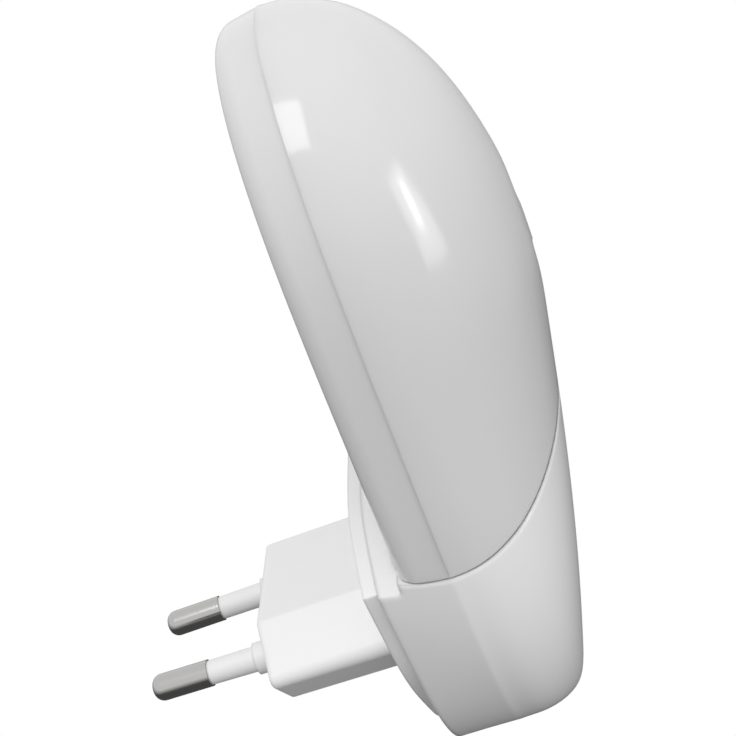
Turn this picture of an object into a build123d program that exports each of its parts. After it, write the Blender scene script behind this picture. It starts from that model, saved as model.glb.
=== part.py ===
"""Plug-in night light: a cup base with a two-pin plug on its back and a milky arched diffuser on top.

Millimetres. The origin is the centre of the plug's engagement face, where it meets the wall socket.
+Z is up, +Y is into the wall and the lamp's front faces -Y. X is across, and the shape mirrors in X = 0.
"""

import os
from math import cos, pi, radians, sin, sqrt

from build123d import *

os.makedirs("parts", exist_ok=True)

# Outer form: an arched egg, widest at the crease plane, where the front dome meets the straighter back.
CREASE = 31.0  # how far the crease plane lies in front of the engagement face
HALF_W = 30.3  # half width at the widest
DOME = 23.9  # depth of the front dome in front of the crease
Z_TOP, Z_LOW = 85.5, -25.5  # highest and lowest point of the crease outline
Z_WIDE, Z_FRONT = 35.0, 45.0  # heights of the widest and of the foremost point
WALL = 1.7
LIP_GAP, LIP = 0.35, 0.9  # between the cup and the diffuser's lip, and the lip's thickness

# Seam between diffuser and base: a cylinder with its axis along X.
SEAM_Y, SEAM_Z, SEAM_R = -31.0, 40.5, 26.0
SEAM_GAP = 0.15  # to each side of the seam
BACK, BACK_ROUND = 24.5, 3.0  # the diffuser's flat back and the rounding of its edge
NECK = 24.1  # front of the neck behind the diffuser

# Rear cover and plug block.
COVER_IN, COVER_OUT = 21.0, 19.0
PIN_SEP, PIN_TIP_SEP, PIN_LEN, PIN_R = 18.6, 17.5, 19.0, 2.0
CORE_R, SLEEVE_R, SLEEVE_END_R, SLEEVE_LEN = 1.4, 1.9, 1.8, 10.0
COLLAR_R, COLLAR_LEN, COLLAR_SEAT = 2.35, 2.6, 1.5  # collar of each sleeve and how deep it sits in the block
CRIMP_R = 2.6

# Lamp holder and bulb, on one upright axis.
AXIS_Y = -36.0
DECK_LOW, DECK_TOP = 7.0, 8.8
HOLDER_R, SHELL_IN = 9.2, 7.03
CAP_R, GLASS_R, BULB_TOP = 6.95, 8.0, 58.5

# Switch on the +X side.
SW_Y, SW_FACE, SW_PIVOT_X = -33.0, 27.2, 25.4
ROCKER_TILT = 8.0

SCREWS = [(-19.0, 9.5), (19.0, 9.5), (0.0, -14.5)]


def keep(part, name):
    part.label = name
    export_step(part, f"parts/{name}.step")


def front_plane(depth):
    """Sketch plane across the lamp at a depth in front of the engagement face; x is X, y is Z."""
    return Plane.XZ.offset(depth)


def half_width(z):
    if z >= Z_WIDE:
        u = min(1.0, (z - Z_WIDE) / (Z_TOP - Z_WIDE))
        return HALF_W * (1 - u**3.2) ** (1 / 2.2)
    u = min(1.0, (Z_WIDE - z) / (Z_WIDE - Z_LOW))
    return HALF_W * (1 - u**3.4) ** 0.59


def dome_depth(z):
    if z >= Z_FRONT:
        v = min(1.0, (z - Z_FRONT) / (Z_TOP - Z_FRONT))
        return DOME * sqrt(1 - v**2.3)
    v = min(1.0, (Z_FRONT - z) / (Z_FRONT - Z_LOW))
    return DOME * (1 - 0.60 * v**1.3) * sqrt(1 - v**80)


def squareness(z):
    s = min(1.0, max(0.0, (30.0 - z) / 40.0))
    return 2.0 + 0.6 * s * s * (3 - 2 * s)


def height_at(depth, low, high):
    """Height between low and high where the dome's depth is the given one."""
    for _ in range(60):
        mid = (low + high) / 2
        if (dome_depth(mid) < depth) == (dome_depth(low) < dome_depth(high)):
            low = mid
        else:
            high = mid
    return (low + high) / 2


def outline_points(depth, count=13):
    """Right half of the outer form's section at a depth in front of the crease, from bottom to top."""
    low = Z_LOW if depth <= 0 else height_at(depth, Z_LOW, Z_FRONT)
    high = Z_TOP if depth <= 0 else height_at(depth, Z_FRONT, Z_TOP)
    points = []
    for i in range(count):
        z = (low + high) / 2 - (high - low) / 2 * cos(radians(180 * i / (count - 1)))
        x = 0.0
        if 0 < i < count - 1:
            n = squareness(z)
            x = half_width(z) * max(0.0, 1 - (depth / dome_depth(z)) ** n) ** (1 / n) if depth > 0 else half_width(z)
        points.append((x, z))
    return points


def inset(points, d):
    """The points moved in by about d, by scaling the whole form."""
    middle = (Z_TOP + Z_LOW) / 2
    kx, kz = (HALF_W - d) / HALF_W, (Z_TOP - Z_LOW - 2 * d) / (Z_TOP - Z_LOW)
    return [(x * kx, middle + (z - middle) * kz) for x, z in points]


def closed_outline(points):
    """Closes a right half outline with its mirror image. Every outline shares one spacing of its knots."""
    steps = [i / (len(points) - 1) for i in range(len(points))]
    swing = Vector(pi * max(x for x, z in points), 0)
    for side, ends in ((1, (swing, -swing)), (-1, (-swing, swing))):
        run = [Vector(side * x, z) for x, z in points][::side]
        add(Edge.make_spline(run, tangents=ends, parameters=steps, scale=False))


def ring_outline(points):
    """The same as one smooth closed spline, whose solids take an edge rounding."""
    Spline(*(points + [(-x, z) for x, z in reversed(points[1:-1])]), periodic=True)


def dome_form(d):
    """Solid front dome, moved in by d."""
    with BuildPart() as form:
        for angle in (0, 7.5, 15, 22.5, 30, 45, 58, 70, 80, 86):
            depth = DOME * sin(radians(angle))
            with BuildSketch(front_plane(CREASE + depth * (DOME - d) / DOME)):
                with BuildLine():
                    closed_outline(inset(outline_points(depth), d))
                make_face()
        loft()
    return form.part


def back_form(front, front_d, back, back_points, outline=closed_outline):
    """Solid between the crease outline and another outline further back."""
    with BuildPart() as form:
        for depth, points in ((front, inset(outline_points(0), front_d)), (back, back_points)):
            with BuildSketch(front_plane(depth)):
                with BuildLine():
                    outline(points)
                make_face()
        loft()
    return form.part


def seam_region(radius):
    """Everything above the seam surface of the given radius, as a solid across the lamp."""
    with BuildPart() as region:
        with BuildSketch(Plane.YZ.offset(-40)):
            with Locations((SEAM_Y, SEAM_Z)):
                Circle(radius)
            with Locations((SEAM_Y, SEAM_Z + 40)):
                Rectangle(2 * radius, 80)
        extrude(amount=80)
    return region.part


def slab(y_low, y_high, z_low=-60, z_high=120, half_x=60):
    with BuildPart() as block:
        with Locations((0, (y_low + y_high) / 2, (z_low + z_high) / 2)):
            Box(2 * half_x, y_high - y_low, z_high - z_low)
    return block.part


def under_roof(drop=0.0):
    """Everything under the neck's arched top, for |X| up to 34."""
    arch = [(0, 20.3), (8, 20.2), (15, 19.5), (21.7, 17.0), (25.4, 15.0), (28, 13.5), (34, 9.8)]
    arch = [(x, z - drop) for x, z in arch]
    with BuildPart() as region:
        with BuildSketch(front_plane(10)):
            with BuildLine():
                Spline(*([(-x, z) for x, z in reversed(arch)] + arch[1:]))
                Polyline((34, arch[-1][1]), (34, -60), (-34, -60), (-34, arch[-1][1]))
            make_face()
        extrude(amount=40)
    return region.part


# ---------------------------------------------------------------- outer solids shared by several pieces
form = {d: dome_form(d) for d in (0, WALL, WALL + LIP_GAP, WALL + LIP_GAP + LIP)}

# Outline of the rear cover's plate, and the opening behind it that leaves the plate a rim to lie on.
PLATE = [(0, -22.2), (5, -21.2), (9.8, -18.3), (14.3, -13.4), (18.1, -8.6), (21, -4.3), (23.4, 0.9),
         (25.2, 7.0), (27.0, 13.9), (28, 24), (27, 40), (12, 56), (0, 60)]
OPENING = [(x * 0.9, 2 + (z - 2) * 0.9) for x, z in PLATE]
RIM = 1.6

# Outline of the base where it meets the rear cover, from the bottom up; its upper part is cut away later.
REAR = [(0, -25.2), (8, -23.8), (14.5, -19), (20.3, -11), (24.9, 1.5), (27.8, 15), (28.6, 29.4), (28, 42.7),
        (26, 55.2), (21.5, 65.9), (15.5, 74.1), (8.5, 79.2), (0, 81)]
rear_outer = back_form(CREASE, 0, COVER_IN, REAR)
rear_inner = back_form(CREASE, WALL, COVER_IN - 1, [(x * 0.925, 30 + (z - 30) * 0.957) for x, z in REAR])

# ---------------------------------------------------------------- base shell: cup, neck, deck, bosses, pad
with BuildPart() as switch_pad:
    with BuildSketch(Plane.YZ.offset(SW_FACE)):
        with Locations((SW_Y, 0)):
            RectangleRounded(13.4, 17.6, 2.5)
    extrude(amount=-7.0)

with BuildPart() as base_cavity:
    add(form[WALL])
    add(rear_inner - slab(-COVER_IN - RIM, 0))
    with BuildSketch(front_plane(COVER_IN - 1)):
        with BuildLine():
            ring_outline(OPENING)
        make_face()
    extrude(amount=RIM + 2)
    add(slab(-NECK - 1.2, 0, 12.5, 120), mode=Mode.SUBTRACT)
    # What stays standing inside: the deck, three screw bosses, a rib under the lowest and the switch pad.
    add(slab(-80, -COVER_IN - 0.3, DECK_LOW, DECK_TOP), mode=Mode.SUBTRACT)
    with Locations(*[Plane(origin=(x, -COVER_IN - 0.1, z), z_dir=(0, -1, 0)) for x, z in SCREWS]):
        Cylinder(3.0, 9.5, align=(Align.CENTER, Align.CENTER, Align.MIN), mode=Mode.SUBTRACT)
    with Locations((0, -COVER_IN - 4.85, -20.5)):
        Box(1.6, 9.5, 11, mode=Mode.SUBTRACT)
    add(switch_pad.part, mode=Mode.SUBTRACT)

with BuildPart() as base_shell:
    add(form[0])
    add(rear_outer)
    add(seam_region(SEAM_R + SEAM_GAP) & slab(-80, -NECK), mode=Mode.SUBTRACT)
    add(slab(-80, -NECK, 40, 120), mode=Mode.SUBTRACT)
    add(slab(-NECK, 0) - under_roof(), mode=Mode.SUBTRACT)
    add(switch_pad.part)
    add(base_cavity.part, mode=Mode.SUBTRACT)
    with BuildSketch(Plane.YZ.offset(SW_FACE + 6)):
        with Locations((SW_Y, 0)):
            RectangleRounded(13.4, 17.6, 2.5)
    extrude(amount=-6.0, mode=Mode.SUBTRACT)
    with Locations((SW_FACE - 5, SW_Y, 0)):
        Box(14, 10.0, 14.0, mode=Mode.SUBTRACT)
    with Locations(*[Plane(origin=(x, -COVER_IN + 0.5, z), z_dir=(0, -1, 0)) for x, z in SCREWS]):
        Cylinder(1.4, 8.5, align=(Align.CENTER, Align.CENTER, Align.MIN), mode=Mode.SUBTRACT)
    with Locations((0, AXIS_Y, 8)):
        Cylinder(HOLDER_R + 0.1, 6, mode=Mode.SUBTRACT)
keep(base_shell.part, "base_shell")

# ---------------------------------------------------------------- contact pins and their sleeves


def pin_plane(side):
    """Plane at a pin's root, its z along the pin. The pins lean together towards their tips."""
    lean = (PIN_SEP - PIN_TIP_SEP) / 2 / PIN_LEN
    return Plane(origin=(side * PIN_SEP / 2, 0, 0), z_dir=(-side * lean, 1, 0))


def contact_pin(side):
    with BuildPart() as pin:
        with Locations(pin_plane(side)):
            with Locations((0, 0, SLEEVE_LEN)):
                Cylinder(PIN_R, PIN_LEN - SLEEVE_LEN, align=(Align.CENTER, Align.CENTER, Align.MIN))
        fillet(pin.edges().sort_by(Axis.Y)[-1], 1.5)
        with Locations(pin_plane(side)):
            with Locations((0, 0, -12)):
                Cylinder(CORE_R, 12 + SLEEVE_LEN, align=(Align.CENTER, Align.CENTER, Align.MIN))
    return pin.part


pin_left, pin_right = contact_pin(-1), contact_pin(1)
keep(pin_left, "pin_left")
keep(pin_right, "pin_right")


def collar_plane(side):
    """Plane at the bottom of a collar's seat, its z straight out of the engagement face."""
    return Plane(origin=(side * PIN_SEP / 2, -COLLAR_SEAT, 0), z_dir=(0, 1, 0))


with BuildPart() as pin_sleeves:
    for side in (-1, 1):
        with Locations(pin_plane(side)):
            Cone(SLEEVE_R, SLEEVE_END_R, SLEEVE_LEN, align=(Align.CENTER, Align.CENTER, Align.MIN))
        with Locations(collar_plane(side)):
            Cylinder(COLLAR_R, COLLAR_SEAT + COLLAR_LEN, align=(Align.CENTER, Align.CENTER, Align.MIN))
    add(pin_left, mode=Mode.SUBTRACT)
    add(pin_right, mode=Mode.SUBTRACT)
keep(pin_sleeves.part, "pin_sleeves")

# ---------------------------------------------------------------- rear cover with the plug block moulded on

with BuildPart() as rear_cover:
    with BuildSketch(front_plane(COVER_OUT)):
        with BuildLine():
            ring_outline(PLATE)
        make_face()
    extrude(amount=COVER_IN - COVER_OUT)
    add(under_roof(0.15), mode=Mode.INTERSECT)
    # Six-sided plug block with blunt ends and a little draft towards the engagement face.
    with BuildSketch(Plane(origin=(0, -COVER_OUT, 0), x_dir=(-1, 0, 0), z_dir=(0, 1, 0))):
        Polygon((11.3, 7.05), (-11.3, 7.05), (-18.4, 0), (-11.3, -7.05), (11.3, -7.05), (18.4, 0), align=None)
        fillet(vertices().sort_by(Axis.X)[0], 1.8)
        fillet(vertices().sort_by(Axis.X)[-1], 1.8)
    extrude(amount=COVER_OUT, taper=0.6)
    fillet(faces().sort_by(Axis.Y)[-1].edges(), 0.7)
    # The block is hollow behind the pins.
    with BuildSketch(front_plane(8)):
        Polygon((9.6, 4.4), (-9.6, 4.4), (-14.0, 0), (-9.6, -4.4), (9.6, -4.4), (14.0, 0), align=None)
    extrude(amount=COVER_IN - 8 + 1, mode=Mode.SUBTRACT)
    add(pin_left, mode=Mode.SUBTRACT)
    add(pin_right, mode=Mode.SUBTRACT)
    with Locations(collar_plane(-1), collar_plane(1)):
        Cylinder(COLLAR_R + 0.05, 4, align=(Align.CENTER, Align.CENTER, Align.MIN), mode=Mode.SUBTRACT)
    with Locations(*[Plane(origin=(x, -COVER_OUT + 0.01, z), z_dir=(0, -1, 0)) for x, z in SCREWS]):
        Cylinder(1.5, 4, align=(Align.CENTER, Align.CENTER, Align.MIN), mode=Mode.SUBTRACT)
        Cone(2.8, 1.5, 1.3, align=(Align.CENTER, Align.CENTER, Align.MIN), mode=Mode.SUBTRACT)
keep(rear_cover.part, "rear_cover")

with BuildPart() as cover_screws:
    with Locations(*[Plane(origin=(x, -COVER_OUT - 0.1, z), z_dir=(0, -1, 0)) for x, z in SCREWS]):
        Cone(2.65, 1.36, 1.25, align=(Align.CENTER, Align.CENTER, Align.MIN))
        Cylinder(1.36, 8.6, align=(Align.CENTER, Align.CENTER, Align.MIN))
        Box(0.6, 3.0, 0.7, align=(Align.CENTER, Align.CENTER, Align.MIN), mode=Mode.SUBTRACT)
        Box(3.0, 0.6, 0.7, align=(Align.CENTER, Align.CENTER, Align.MIN), mode=Mode.SUBTRACT)
keep(cover_screws.part, "cover_screws")

# ---------------------------------------------------------------- crimps that join the wires to the pins
with BuildPart() as crimps:
    for side in (-1, 1):
        with Locations(pin_plane(side)):
            with Locations((0, 0, -14.6)):
                Cylinder(CRIMP_R, 5.6, align=(Align.CENTER, Align.CENTER, Align.MIN))
                Cylinder(0.95, 3, align=(Align.CENTER, Align.CENTER, Align.MIN), mode=Mode.SUBTRACT)
            with Locations((0, 0, -12)):
                Cylinder(CORE_R, 4, align=(Align.CENTER, Align.CENTER, Align.MIN), mode=Mode.SUBTRACT)
keep(crimps.part, "crimps")

# ---------------------------------------------------------------- lamp holder, hung in the deck
HOLDER_LOW, HOLDER_TOP, BORE = 0.0, 25.0, 7.5
FLANGE_R, RING_R = 10.8, 10.2
SHELL_TAB, CONTACT_TAB = -6.9, 2.5  # X of the two solder tabs that pass the holder's bottom

with BuildPart() as lamp_holder:
    with Locations((0, AXIS_Y, HOLDER_LOW)):
        Cylinder(HOLDER_R, HOLDER_TOP - HOLDER_LOW, align=(Align.CENTER, Align.CENTER, Align.MIN))
    fillet(lamp_holder.edges().group_by(Axis.Z)[0], 0.8)
    with Locations((0, AXIS_Y, DECK_TOP)):
        Cylinder(FLANGE_R, 1.6, align=(Align.CENTER, Align.CENTER, Align.MIN))
    with Locations((0, AXIS_Y, HOLDER_LOW + 3)):
        Cylinder(BORE, HOLDER_TOP, align=(Align.CENTER, Align.CENTER, Align.MIN), mode=Mode.SUBTRACT)
    # Groove for the retaining ring under the deck.
    with BuildSketch(Plane.XZ.offset(-AXIS_Y)):
        with Locations((HOLDER_R, DECK_LOW - 0.8)):
            Rectangle(1.0, 1.4)
    revolve(axis=Axis((0, AXIS_Y, 0), (0, 0, 1)), mode=Mode.SUBTRACT)
    with Locations((SHELL_TAB, AXIS_Y, 0), (CONTACT_TAB, AXIS_Y, 0)):
        Box(0.7, 3.2, 20, mode=Mode.SUBTRACT)
keep(lamp_holder.part, "lamp_holder")

with BuildPart() as retaining_ring:
    with Locations((0, AXIS_Y, DECK_LOW - 1.4)):
        Cylinder(RING_R, 1.2, align=(Align.CENTER, Align.CENTER, Align.MIN))
        Cylinder(HOLDER_R - 0.45, 1.2, align=(Align.CENTER, Align.CENTER, Align.MIN), mode=Mode.SUBTRACT)
    with Locations((0, AXIS_Y + 10, DECK_LOW)):
        Box(3.5, 6, 6, mode=Mode.SUBTRACT)
keep(retaining_ring.part, "retaining_ring")

with BuildPart() as thread_shell:
    with Locations((0, AXIS_Y, 6)):
        Cylinder(BORE - 0.05, 18, align=(Align.CENTER, Align.CENTER, Align.MIN))
        Cylinder(SHELL_IN, 18, align=(Align.CENTER, Align.CENTER, Align.MIN), mode=Mode.SUBTRACT)
    with Locations((SHELL_TAB, AXIS_Y, 1.6)):
        Box(0.5, 3.0, 11.2)
keep(thread_shell.part, "thread_shell")

with BuildPart() as centre_contact:
    with Locations((CONTACT_TAB, AXIS_Y, -0.24)):
        Box(0.5, 3.0, 7.52)
    with Locations((0.3, AXIS_Y, 3.27)):
        Box(4.9, 3.0, 0.5)
    with Locations((-0.6, AXIS_Y, 3.4)):
        Cone(1.5, 0.9, 0.9, align=(Align.CENTER, Align.CENTER, Align.MIN))
keep(centre_contact.part, "centre_contact")

# ---------------------------------------------------------------- rocker switch on the +X side
with BuildPart() as switch_body:
    with Locations((16.0, SW_Y, 0)):
        Box(SW_FACE - 16.0, 9.8, 13.8, align=(Align.MIN, Align.CENTER, Align.CENTER))
    with BuildSketch(Plane.YZ.offset(SW_FACE)):
        with Locations((SW_Y, 0)):
            RectangleRounded(11.6, 15.8, 1.2)
    extrude(amount=1.2)
    fillet(switch_body.faces().sort_by(Axis.X)[-1].edges(), 0.5)
    with Locations((20.6, SW_Y, 0)):
        Box(12, 8.0, 12.2, align=(Align.MIN, Align.CENTER, Align.CENTER), mode=Mode.SUBTRACT)
    with Locations(Plane(origin=(SW_PIVOT_X, SW_Y - 4.6, 0), z_dir=(0, 1, 0))):
        Cylinder(0.95, 9.2, align=(Align.CENTER, Align.CENTER, Align.MIN), mode=Mode.SUBTRACT)
keep(switch_body.part, "switch_body")

with BuildPart() as switch_terminals:
    with Locations((12.6, SW_Y, 3.5), (12.6, SW_Y, -3.5)):
        Box(3.4, 3.0, 0.6, align=(Align.MIN, Align.CENTER, Align.CENTER))
keep(switch_terminals.part, "switch_terminals")

with BuildPart() as switch_rocker:
    with BuildSketch(Plane.XZ.offset(-SW_Y - 3.8)):
        with BuildLine():
            Polyline((3.4, 5.4), (-1.2, 5.2), (-3.6, 1.4), (-3.6, -1.4), (-1.2, -5.2), (3.4, -5.4))
            ThreePointArc((3.4, -5.4), (2.7, 0), (3.4, 5.4))
        make_face()
    extrude(amount=7.6)
    fillet(switch_rocker.edges().filter_by(Axis.Y).sort_by(Axis.X)[-2:], 0.5)
    with Locations(Plane(origin=(0, SW_Y - 4.5, 0), z_dir=(0, 1, 0))):
        Cylinder(0.9, 9.0, align=(Align.CENTER, Align.CENTER, Align.MIN))
rocker = switch_rocker.part.rotate(Axis((0, SW_Y, 0), (0, 1, 0)), ROCKER_TILT).translate((SW_PIVOT_X, 0, 0))
keep(rocker, "switch_rocker")

# ---------------------------------------------------------------- inner wires
WIRE_R = 0.95


def wire(points, bend, name):
    with BuildPart() as run:
        with BuildLine() as path:
            FilletPolyline(*points, radius=bend)
        with BuildSketch(Plane(origin=path.line @ 0, z_dir=path.line % 0)):
            Circle(WIRE_R)
        sweep()
    keep(run.part, name)


def crimp_point(side, y):
    """Point on a pin's axis behind its root."""
    lean = (PIN_SEP - PIN_TIP_SEP) / 2 / PIN_LEN
    return (side * (PIN_SEP / 2 - lean * y), y, 0)


wire([crimp_point(1, -12.1), crimp_point(1, -22.0), (14.2, -26.6, 3.5), (14.2, SW_Y + 1.5, 3.5)], 3.0, "wire_live")
wire([(12.6, SW_Y, -3.5), (9.4, SW_Y, -3.5), (6.4, AXIS_Y, -2.7), (CONTACT_TAB + 0.25, AXIS_Y, -2.7)], 2.5,
     "wire_switched")
wire([crimp_point(-1, -12.1), crimp_point(-1, -23.0), (-11.4, -28.5, -2.8), (-11.4, AXIS_Y, -2.8),
      (SHELL_TAB - 0.25, AXIS_Y, -2.8)], 2.4, "wire_neutral")

# ---------------------------------------------------------------- diffuser: front dome and back tray
above_seam = seam_region(SEAM_R - SEAM_GAP)

with BuildPart() as diffuser_front:
    add(form[0] & above_seam)
    # Lip that reaches down inside the cup.
    add(form[WALL + LIP_GAP] & seam_region(SEAM_R + 3.5) & slab(-80, -CREASE - 0.3, -60, 30))
    add(form[WALL + LIP_GAP + LIP], mode=Mode.SUBTRACT)
keep(diffuser_front.part, "diffuser_front")

with BuildPart() as diffuser_back:
    add(back_form(CREASE, 0.12, BACK, inset(outline_points(0), 1.0), ring_outline))
    fillet(diffuser_back.faces().sort_by(Axis.Y)[-1].edges(), BACK_ROUND)
    add(back_form(CREASE + 0.5, WALL, BACK + WALL, inset(outline_points(0), 3.6), ring_outline), mode=Mode.SUBTRACT)
    add(above_seam, mode=Mode.INTERSECT)
keep(diffuser_back.part, "diffuser_back")

# ---------------------------------------------------------------- bulb
def turned(points):
    """A solid of revolution about the bulb's axis from (radius, height) points."""
    with BuildPart() as part:
        with BuildSketch(Plane.XZ.offset(-AXIS_Y)):
            with BuildLine():
                Polyline(*points, close=True)
            make_face()
        revolve(axis=Axis((0, AXIS_Y, 0), (0, 0, 1)))
    return part.part


def glass_profile(r, low, top, neck):
    """Right half of a tubular glass outline with a domed end, from the bottom of the neck to the top."""
    straight = top - r
    dome = [(r * cos(radians(a)), straight + r * sin(radians(a))) for a in range(0, 91, 10)]
    dome[-1] = (0.0, top)
    return [(neck, low), (neck, 25.6), (neck + 0.5, 26.8), (r - 0.5, 29.6), (r, 31.5)] + dome


outer_glass = turned([(0, 22.0)] + glass_profile(GLASS_R, 22.0, BULB_TOP, 6.2))
inner_glass = turned([(0, 22.0)] + glass_profile(GLASS_R - 0.7, 22.0, BULB_TOP - 0.7, 5.5))
keep(outer_glass - inner_glass, "bulb_glass")

keep(turned([(4.0, 8.6), (6.2, 8.6), (CAP_R, 10.0), (CAP_R, 24.4), (7.6, 25.2), (7.6, 26.4), (6.75, 26.4),
             (6.5, 24.6), (6.5, 10.6), (4.0, 9.4)]), "bulb_cap")
keep(turned([(0.0, 5.9), (3.2, 5.9), (6.0, 8.5), (3.9, 8.5), (3.9, 9.6), (0.0, 9.6)]), "bulb_insulator")
keep(turned([(0.0, 4.6), (1.4, 4.7), (2.3, 5.2), (2.3, 5.9), (0.0, 5.9)]), "bulb_contact")

with BuildPart() as bulb_leads:
    for side in (-1, 1):
        with BuildLine() as lead:
            FilletPolyline((side * 1.1, AXIS_Y, 30.0), (side * 1.1, AXIS_Y, 36.5), (side * 4.6, AXIS_Y, 41.5),
                           (side * 4.6, AXIS_Y, 45.0), radius=1.5)
        with BuildSketch(Plane(origin=lead.line @ 0, z_dir=lead.line % 0)):
            Circle(0.3)
        sweep()
keep(bulb_leads.part, "bulb_leads")

stem = turned([(0.0, 22.4), (5.3, 22.4), (5.2, 23.4), (2.4, 25.2), (1.9, 27.5), (1.9, 33.5), (1.4, 34.6),
               (0.0, 34.9)])
keep(stem - bulb_leads.part, "bulb_stem")

with BuildPart() as filament:
    with BuildLine() as arc:
        ThreePointArc((-4.2, AXIS_Y, 44.6), (0, AXIS_Y, 46.8), (4.2, AXIS_Y, 44.6))
    with BuildSketch(Plane(origin=arc.line @ 0, z_dir=arc.line % 0)):
        Circle(0.4)
    sweep()
keep(filament.part - bulb_leads.part, "filament")
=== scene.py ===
"""Looks of the plug in night light: finishes, camera and light for its CAD pieces."""

from math import radians

import bpy
from mathutils import Matrix, Vector

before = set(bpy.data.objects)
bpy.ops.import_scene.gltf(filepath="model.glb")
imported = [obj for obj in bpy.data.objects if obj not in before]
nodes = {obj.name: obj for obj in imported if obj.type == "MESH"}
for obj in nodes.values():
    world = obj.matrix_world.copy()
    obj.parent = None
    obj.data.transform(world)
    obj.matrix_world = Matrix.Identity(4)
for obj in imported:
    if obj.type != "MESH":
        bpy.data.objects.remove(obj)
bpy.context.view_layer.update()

# ------------------------------------------------------------------ base shell and rocker
# The base shell is the cup that carries every other piece, and the rocker tips in the switch in its side.
# Both are injection moulded in glossy white plastic, which leaves their edges slightly round and their
# skin a little uneven.
MM = 0.001
WHITE = (0.80, 0.80, 0.80)
WAVES_PER_M = 45
WAVE_HEIGHT = 1 * MM
GRAINS_PER_M = 2600
GRAIN_HEIGHT = 0.1 * MM
SMALL_EDGE = 0.6 * MM
SHELL_EDGE = 1.2 * MM
FINISH = {"Roughness": "NodeSocketFloat", "Normal": "NodeSocketVector"}


def new_node(tree, kind, inputs=None, **settings):
    """Shader node with its settings and the values of its inputs."""
    node = tree.nodes.new("ShaderNode" + kind)
    for key, value in settings.items():
        setattr(node, key, value)
    for key, value in (inputs or {}).items():
        node.inputs[key].default_value = value
    return node


def connect(tree, *links):
    """Joins sockets; each link is (node, its output, next node, its input)."""
    for source, given, target, taken in links:
        tree.links.new(source.outputs[given], target.inputs[taken])


def new_group(name, inputs, outputs):
    """Node group; inputs holds default values, with a tuple for a vector, and outputs socket types."""
    group = bpy.data.node_groups.new(name, "ShaderNodeTree")
    for label, value in inputs.items():
        kind = "NodeSocketVector" if isinstance(value, tuple) else "NodeSocketFloat"
        socket = group.interface.new_socket(name=label, in_out="INPUT", socket_type=kind)
        socket.default_value = value
    for label, kind in outputs.items():
        group.interface.new_socket(name=label, in_out="OUTPUT", socket_type=kind)
    return group, group.nodes.new("NodeGroupInput"), group.nodes.new("NodeGroupOutput")


def vary_roughness(group, given, out, noise, least, most):
    """Puts out the given roughness times a noise that runs from least to most."""
    share = new_node(group, "MapRange", {"To Min": least, "To Max": most})
    product = new_node(group, "Math", operation="MULTIPLY")
    connect(
        group,
        (noise, "Fac", share, "Value"),
        (share, "Result", product, 0),
        (given, "Roughness", product, 1),
        (product, "Value", out, "Roughness"),
    )


def moulded_surface():
    """Round edges, faint waves and grain of a moulded skin."""
    group, given, out = new_group(
        "Moulded surface",
        {"Roughness": 0.2, "Wave": 0.02, "Grain": 0.004, "Edge": SMALL_EDGE},
        FINISH,
    )
    place = new_node(group, "TexCoord")
    wave = new_node(group, "TexNoise", {"Scale": WAVES_PER_M, "Detail": 1})
    grain = new_node(group, "TexNoise", {"Scale": GRAINS_PER_M, "Detail": 2})
    edge = new_node(group, "Bevel", samples=6)
    waved = new_node(group, "Bump", {"Distance": WAVE_HEIGHT})
    grained = new_node(group, "Bump", {"Distance": GRAIN_HEIGHT})
    connect(
        group,
        (place, "Object", wave, "Vector"),
        (place, "Object", grain, "Vector"),
        (given, "Edge", edge, "Radius"),
        (edge, "Normal", waved, "Normal"),
        (wave, "Fac", waved, "Height"),
        (given, "Wave", waved, "Strength"),
        (waved, "Normal", grained, "Normal"),
        (grain, "Fac", grained, "Height"),
        (given, "Grain", grained, "Strength"),
        (grained, "Normal", out, "Normal"),
    )
    vary_roughness(group, given, out, wave, least=0.85, most=1.15)
    return group


def material(name, color, roughness, metallic=0.0, surface=None, settings=None, shader=None):
    """Principled material; surface is a node group that varies its roughness and its normal."""
    finish = bpy.data.materials.new(name)
    finish.use_nodes = True
    tree = finish.node_tree
    principled = tree.nodes["Principled BSDF"]
    values = {"Base Color": (*color, 1), "Roughness": roughness, "Metallic": metallic}
    for key, value in (values | (shader or {})).items():
        principled.inputs[key].default_value = value
    if surface:
        skin = new_node(tree, "Group", node_tree=surface)
        for key, value in ({"Roughness": roughness} | (settings or {})).items():
            skin.inputs[key].default_value = value
        connect(
            tree,
            (skin, "Roughness", principled, "Roughness"),
            (skin, "Normal", principled, "Normal"),
        )
    return finish


def dress(finish, slot, *names):
    """Gives CAD pieces their material. The slot argument is not used."""
    for name in names:
        piece = nodes[name]
        piece.data.materials.clear()
        piece.data.materials.append(finish)


moulded = moulded_surface()
glossy = material(
    "Glossy white", WHITE, roughness=0.16, surface=moulded, settings={"Wave": 0.04, "Edge": SHELL_EDGE}
)
dress(glossy, "white_shell", "base_shell", "switch_rocker")

# ------------------------------------------------------------------ rear cover, lamp holder, switch housing
# The cover closes the back of the base and carries the plug block, the holder stands in the base under
# the bulb, and the switch housing is clipped into the side. All are moulded in satin white plastic.
SATIN_WHITE = (0.82, 0.82, 0.82)
SATIN_GRAIN = 0.1

satin = material(
    "Satin white", SATIN_WHITE, roughness=0.34, surface=moulded, settings={"Grain": SATIN_GRAIN}
)
dress(satin, "white_matt", "rear_cover", "lamp_holder", "switch_body")

# ------------------------------------------------------------------ pin sleeves
# Each pin has a thin insulating sleeve round its root, with a collar where it leaves the plug block.
# It is moulded round the pin in a slightly duller white than the shells.
sleeve = material("Pin sleeve", WHITE, roughness=0.4, surface=moulded, settings={"Grain": SATIN_GRAIN})
dress(sleeve, "sleeve", "pin_sleeves")

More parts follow.
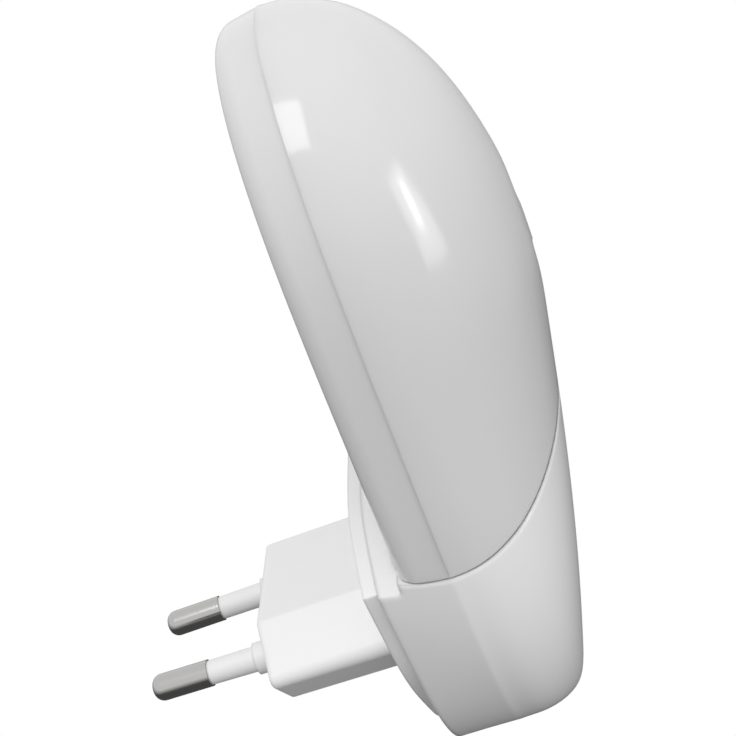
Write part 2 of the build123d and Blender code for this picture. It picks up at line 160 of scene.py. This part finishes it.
# ------------------------------------------------------------------ pins
# The two contact pins are brass rods with round ends, turned on a lathe and nickel plated. The turning
# leaves very fine rings round their length.
NICKEL = (0.48, 0.475, 0.465)
MARK_HEIGHT = 0.1 * MM
RINGS_ALONG_Y = (300, 9000, 300)


def turned_surface():
    """Fine rings of a turned metal surface, packed along one axis by Stretch."""
    group, given, out = new_group(
        "Turned metal",
        {"Roughness": 0.15, "Marks": 0.1, "Stretch": RINGS_ALONG_Y},
        FINISH,
    )
    place = new_node(group, "TexCoord")
    spread = new_node(group, "VectorMath", operation="MULTIPLY")
    marks = new_node(group, "TexNoise", {"Scale": 1})
    marked = new_node(group, "Bump", {"Distance": MARK_HEIGHT})
    connect(
        group,
        (place, "Object", spread, 0),
        (given, "Stretch", spread, 1),
        (spread, "Vector", marks, "Vector"),
        (marks, "Fac", marked, "Height"),
        (given, "Marks", marked, "Strength"),
        (marked, "Normal", out, "Normal"),
    )
    vary_roughness(group, given, out, marks, least=0.7, most=1.3)
    return group


turned = turned_surface()
nickel = material(
    "Nickel", NICKEL, roughness=0.17, metallic=1.0, surface=turned, settings={"Marks": 0.04}
)
dress(nickel, "pin_nickel", "pin_left", "pin_right")

# ------------------------------------------------------------------ crimps and contacts
# The crimps hold the wires on the pins, the shell and the strip touch the bulb, and two tabs stand out of
# the switch. All are bare brass, pressed or rolled from sheet.
BRASS = (0.70, 0.52, 0.22)

brass = material("Brass", BRASS, roughness=0.22, metallic=1.0, surface=turned)
dress(brass, "brass", "crimps", "thread_shell", "centre_contact", "switch_terminals")

# ------------------------------------------------------------------ cover screws and retaining ring
# Three countersunk screws hold the rear cover, and a ring holds the lamp holder under the deck of the base.
# Both are steel with a dull zinc plating.
ZINC = (0.68, 0.69, 0.70)

steel = material("Zinc steel", ZINC, roughness=0.36, metallic=1.0, surface=turned)
dress(steel, "steel", "cover_screws", "retaining_ring")

# ------------------------------------------------------------------ wires
# Three short wires join the pins, the switch and the holder. They are covered in soft plastic, brown for
# live and switched live and blue for neutral, and soldered or crimped at their ends.
BROWN = (0.16, 0.07, 0.035)
BLUE = (0.035, 0.12, 0.38)

brown = material("Brown wire", BROWN, roughness=0.4, surface=moulded)
dress(brown, "wire_brown", "wire_live", "wire_switched")
blue = material("Blue wire", BLUE, roughness=0.4, surface=moulded)
dress(blue, "wire_blue", "wire_neutral")

# ------------------------------------------------------------------ bulb
# A clear blown glass tube is melted to a glass stem that carries two lead wires and the tungsten filament.
# The tube is cemented into a rolled metal cap, whose contact sits in a drop of black glass.
CAP_METAL = (0.72, 0.72, 0.70)
RINGS_ALONG_Z = (300, 300, 9000)
CLEAR_GLASS = (0.96, 0.97, 0.97)
BLACK_GLASS = (0.02, 0.02, 0.022)
TUNGSTEN = (0.2, 0.2, 0.21)

glass = material(
    "Bulb glass", CLEAR_GLASS, roughness=0.02, shader={"IOR": 1.46, "Transmission Weight": 1.0}
)
dress(glass, "glass", "bulb_glass", "bulb_stem")
tungsten = material("Tungsten", TUNGSTEN, roughness=0.4, metallic=1.0, surface=turned)
dress(tungsten, "tungsten", "filament", "bulb_leads")
cap = material(
    "Bulb cap metal",
    CAP_METAL,
    roughness=0.22,
    metallic=1.0,
    surface=turned,
    settings={"Stretch": RINGS_ALONG_Z},
)
dress(cap, "cap_metal", "bulb_cap", "bulb_contact")
black = material("Black insulator", BLACK_GLASS, roughness=0.15, surface=moulded)
dress(black, "black_glass", "bulb_insulator")

# ------------------------------------------------------------------ diffuser
# The diffuser is a hollow shell of milky plastic, a domed front joined to a flat back, that slides down
# into the cup. Light goes a little way into it, and its glossy skin shows clear reflections. The dome ends
# in a small flat at its foremost point, and a round normal there hides its rim.
MILKY = (0.64, 0.64, 0.64)
DOME_TIP = (0, -54.8 * MM, 46.2 * MM)
FLAT_STRETCH = (1, 4, 0.8)
FLAT_RADIUS = 2.4 * MM
BLEND_RADIUS = 6 * MM
DOME_BEND_PER_M = (27, 0, 20)
FORWARD = (0, -1, 0)


def dome_tip():
    """Normal of a round dome near its foremost point, and the given normal further out."""
    group, given, out = new_group("Dome tip", {"Normal": (0, 0, 0)}, {"Normal": "NodeSocketVector"})
    place = new_node(group, "TexCoord")
    offset = new_node(group, "VectorMath", {1: DOME_TIP}, operation="SUBTRACT")
    stretched = new_node(group, "VectorMath", {1: FLAT_STRETCH}, operation="MULTIPLY")
    reach = new_node(group, "VectorMath", operation="LENGTH")
    near = new_node(
        group,
        "MapRange",
        {"From Min": FLAT_RADIUS, "From Max": BLEND_RADIUS, "To Min": 1.0, "To Max": 0.0},
        interpolation_type="SMOOTHSTEP",
    )
    bent = new_node(group, "VectorMath", {1: DOME_BEND_PER_M}, operation="MULTIPLY")
    facing = new_node(group, "VectorMath", {1: FORWARD}, operation="ADD")
    unit = new_node(group, "VectorMath", operation="NORMALIZE")
    turned_out = new_node(
        group, "VectorTransform", vector_type="NORMAL", convert_from="OBJECT", convert_to="WORLD"
    )
    blend = new_node(group, "Mix", data_type="VECTOR")
    connect(
        group,
        (place, "Object", offset, 0),
        (offset, "Vector", stretched, 0),
        (stretched, "Vector", reach, 0),
        (reach, "Value", near, "Value"),
        (offset, "Vector", bent, 0),
        (bent, "Vector", facing, 0),
        (facing, "Vector", unit, 0),
        (unit, "Vector", turned_out, "Vector"),
        (near, "Result", blend, "Factor"),
        (given, "Normal", blend, "A"),
        (turned_out, "Vector", blend, "B"),
        (blend, "Result", out, "Normal"),
    )
    return group


milky = material(
    "Milky diffuser",
    MILKY,
    roughness=0.13,
    surface=moulded,
    settings={"Wave": 0.03, "Edge": 0.0},
    shader={
        "IOR": 1.49,
        "Subsurface Weight": 0.3,
        "Subsurface Scale": 3 * MM,
        "Subsurface Radius": (1, 1, 1),
    },
)
shell = milky.node_tree
principled = shell.nodes["Principled BSDF"]
skin = principled.inputs["Normal"].links[0].from_node
tip = new_node(shell, "Group", node_tree=dome_tip())
connect(shell, (skin, "Normal", tip, "Normal"), (tip, "Normal", principled, "Normal"))
dress(milky, "diffuser", "diffuser_front", "diffuser_back")

# ------------------------------------------------------------------ camera
# It looks at the lamp's left side from 20 degrees above and about 0.2 m away, and is rolled, so that the
# lamp leans to the left. Angles are in degrees, and FOCAL_PX is given for a picture PICTURE_PX wide.
PICTURE_PX = 736
FOCAL_PX = 1399.3
SENSOR = 36
EYE = (-183.8108 * MM, -51.5407 * MM, 102.6839 * MM)
HEADING = 7.544
DIP = 20.387
ROLL = -21.705

camera = bpy.data.cameras.new("Camera")
camera.sensor_width = SENSOR
camera.lens = SENSOR * FOCAL_PX / PICTURE_PX
camera.clip_start = 10 * MM
eye = bpy.data.objects.new("Camera", camera)
eye.matrix_world = (
    Matrix.Translation(EYE)
    @ Matrix.Rotation(radians(HEADING - 90), 4, "Z")
    @ Matrix.Rotation(radians(90 - DIP), 4, "X")
    @ Matrix.Rotation(radians(ROLL), 4, "Z")
)
bpy.context.scene.collection.objects.link(eye)
bpy.context.scene.camera = eye

# ------------------------------------------------------------------ sky
# Soft light comes from all round, brightest from above the lamp's left and very dim from below its back.
# The camera sees plain white, also through the glass. In reflections that white turns dark low down.
SKY_TOWARDS = (-0.6, 0.15, 0.79)
SKY_STOPS = ((0.15, 0.3), (0.32, 0.58), (0.5, 0.64), (1.0, 0.98))
DIM_TOWARDS = (0, 0.5, -0.87)
DIM_FROM = 0.4
DIM_FULL = 0.7
DIM_STRENGTH = 0.03
MIRROR_DARK_BELOW = -0.4
MIRROR_WHITE_ABOVE = 0.2
MIRROR_DARK = 0.1

world = bpy.data.worlds.new("World")
bpy.context.scene.world = world
world.use_nodes = True
sky = world.node_tree
sky.nodes.clear()
around = new_node(sky, "TexCoord")
rise = new_node(sky, "VectorMath", {1: SKY_TOWARDS}, operation="DOT_PRODUCT")
span = new_node(sky, "MapRange", {"From Min": -1.0})
fade = new_node(sky, "ValToRGB")
stops = fade.color_ramp.elements
# The ramp already has its two end stops.
for place, _ in SKY_STOPS[1:-1]:
    stops.new(place)
for stop, (place, value) in zip(stops, SKY_STOPS):
    stop.position = place
    stop.color = (value, value, value, 1)
fall = new_node(sky, "VectorMath", {1: DIM_TOWARDS}, operation="DOT_PRODUCT")
dim = new_node(
    sky, "MapRange", {"From Min": DIM_FROM, "From Max": DIM_FULL, "To Min": 1.0, "To Max": DIM_STRENGTH}
)
lighting = new_node(sky, "Background")
height = new_node(sky, "SeparateXYZ")
mirrored = new_node(
    sky,
    "MapRange",
    {"From Min": MIRROR_DARK_BELOW, "From Max": MIRROR_WHITE_ABOVE, "To Min": MIRROR_DARK},
)
ray = new_node(sky, "LightPath")
direct = new_node(sky, "Math", operation="MAXIMUM")
brightness = new_node(sky, "Math", operation="MAXIMUM")
shown = new_node(sky, "Math", operation="MAXIMUM")
white = new_node(sky, "Background", {"Color": (1, 1, 1, 1)})
choice = new_node(sky, "MixShader")
surroundings = new_node(sky, "OutputWorld")
connect(
    sky,
    (around, "Generated", rise, 0),
    (rise, "Value", span, "Value"),
    (span, "Result", fade, "Fac"),
    (fade, "Color", lighting, "Color"),
    (around, "Generated", fall, 0),
    (fall, "Value", dim, "Value"),
    (dim, "Result", lighting, "Strength"),
    (around, "Generated", height, "Vector"),
    (height, "Z", mirrored, "Value"),
    (ray, "Is Camera Ray", direct, 0),
    (ray, "Is Transmission Ray", direct, 1),
    (direct, "Value", brightness, 0),
    (mirrored, "Result", brightness, 1),
    (brightness, "Value", white, "Strength"),
    (direct, "Value", shown, 0),
    (ray, "Is Glossy Ray", shown, 1),
    (shown, "Value", choice, "Fac"),
    (lighting, "Background", choice, 1),
    (white, "Background", choice, 2),
    (choice, "Shader", surroundings, "Surface"),
)

# ------------------------------------------------------------------ windows
# Three bright panes stand in front of the lamp and above it, towards its left. They show as highlights on
# the dome, and all face one point inside the lamp. Sizes and distances are in metres.
LAMP_MIDDLE = Vector((0, -35 * MM, 50 * MM))
WINDOWS = {
    "Front window": {"towards": (-0.38, -0.92, 0.08), "distance": 0.6, "size": (0.19, 0.26), "watts": 0.55},
    "Front pane": {"towards": (-0.36, -0.92, 0.1), "distance": 0.58, "size": (0.05, 0.13), "watts": 0.18},
    "High window": {"towards": (-0.5, 0.05, 0.8), "distance": 0.6, "size": (0.26, 0.26), "watts": 1.0},
}


def window(name, towards, distance, size, watts):
    """Bright rectangle at a distance in the given direction, turned to the lamp."""
    light = bpy.data.lights.new(name, "AREA")
    light.shape = "RECTANGLE"
    light.size, light.size_y = size
    light.energy = watts
    pane = bpy.data.objects.new(name, light)
    pane.location = LAMP_MIDDLE + Vector(towards).normalized() * distance
    pane.rotation_euler = (LAMP_MIDDLE - pane.location).to_track_quat("-Z", "Y").to_euler()
    bpy.context.scene.collection.objects.link(pane)


for name, values in WINDOWS.items():
    window(name, **values)

# ------------------------------------------------------------------ render
# Colours are rendered as they are written.
scene = bpy.context.scene
scene.view_settings.view_transform = "Standard"
scene.cycles.use_denoising = True
scene.cycles.max_bounces = 8
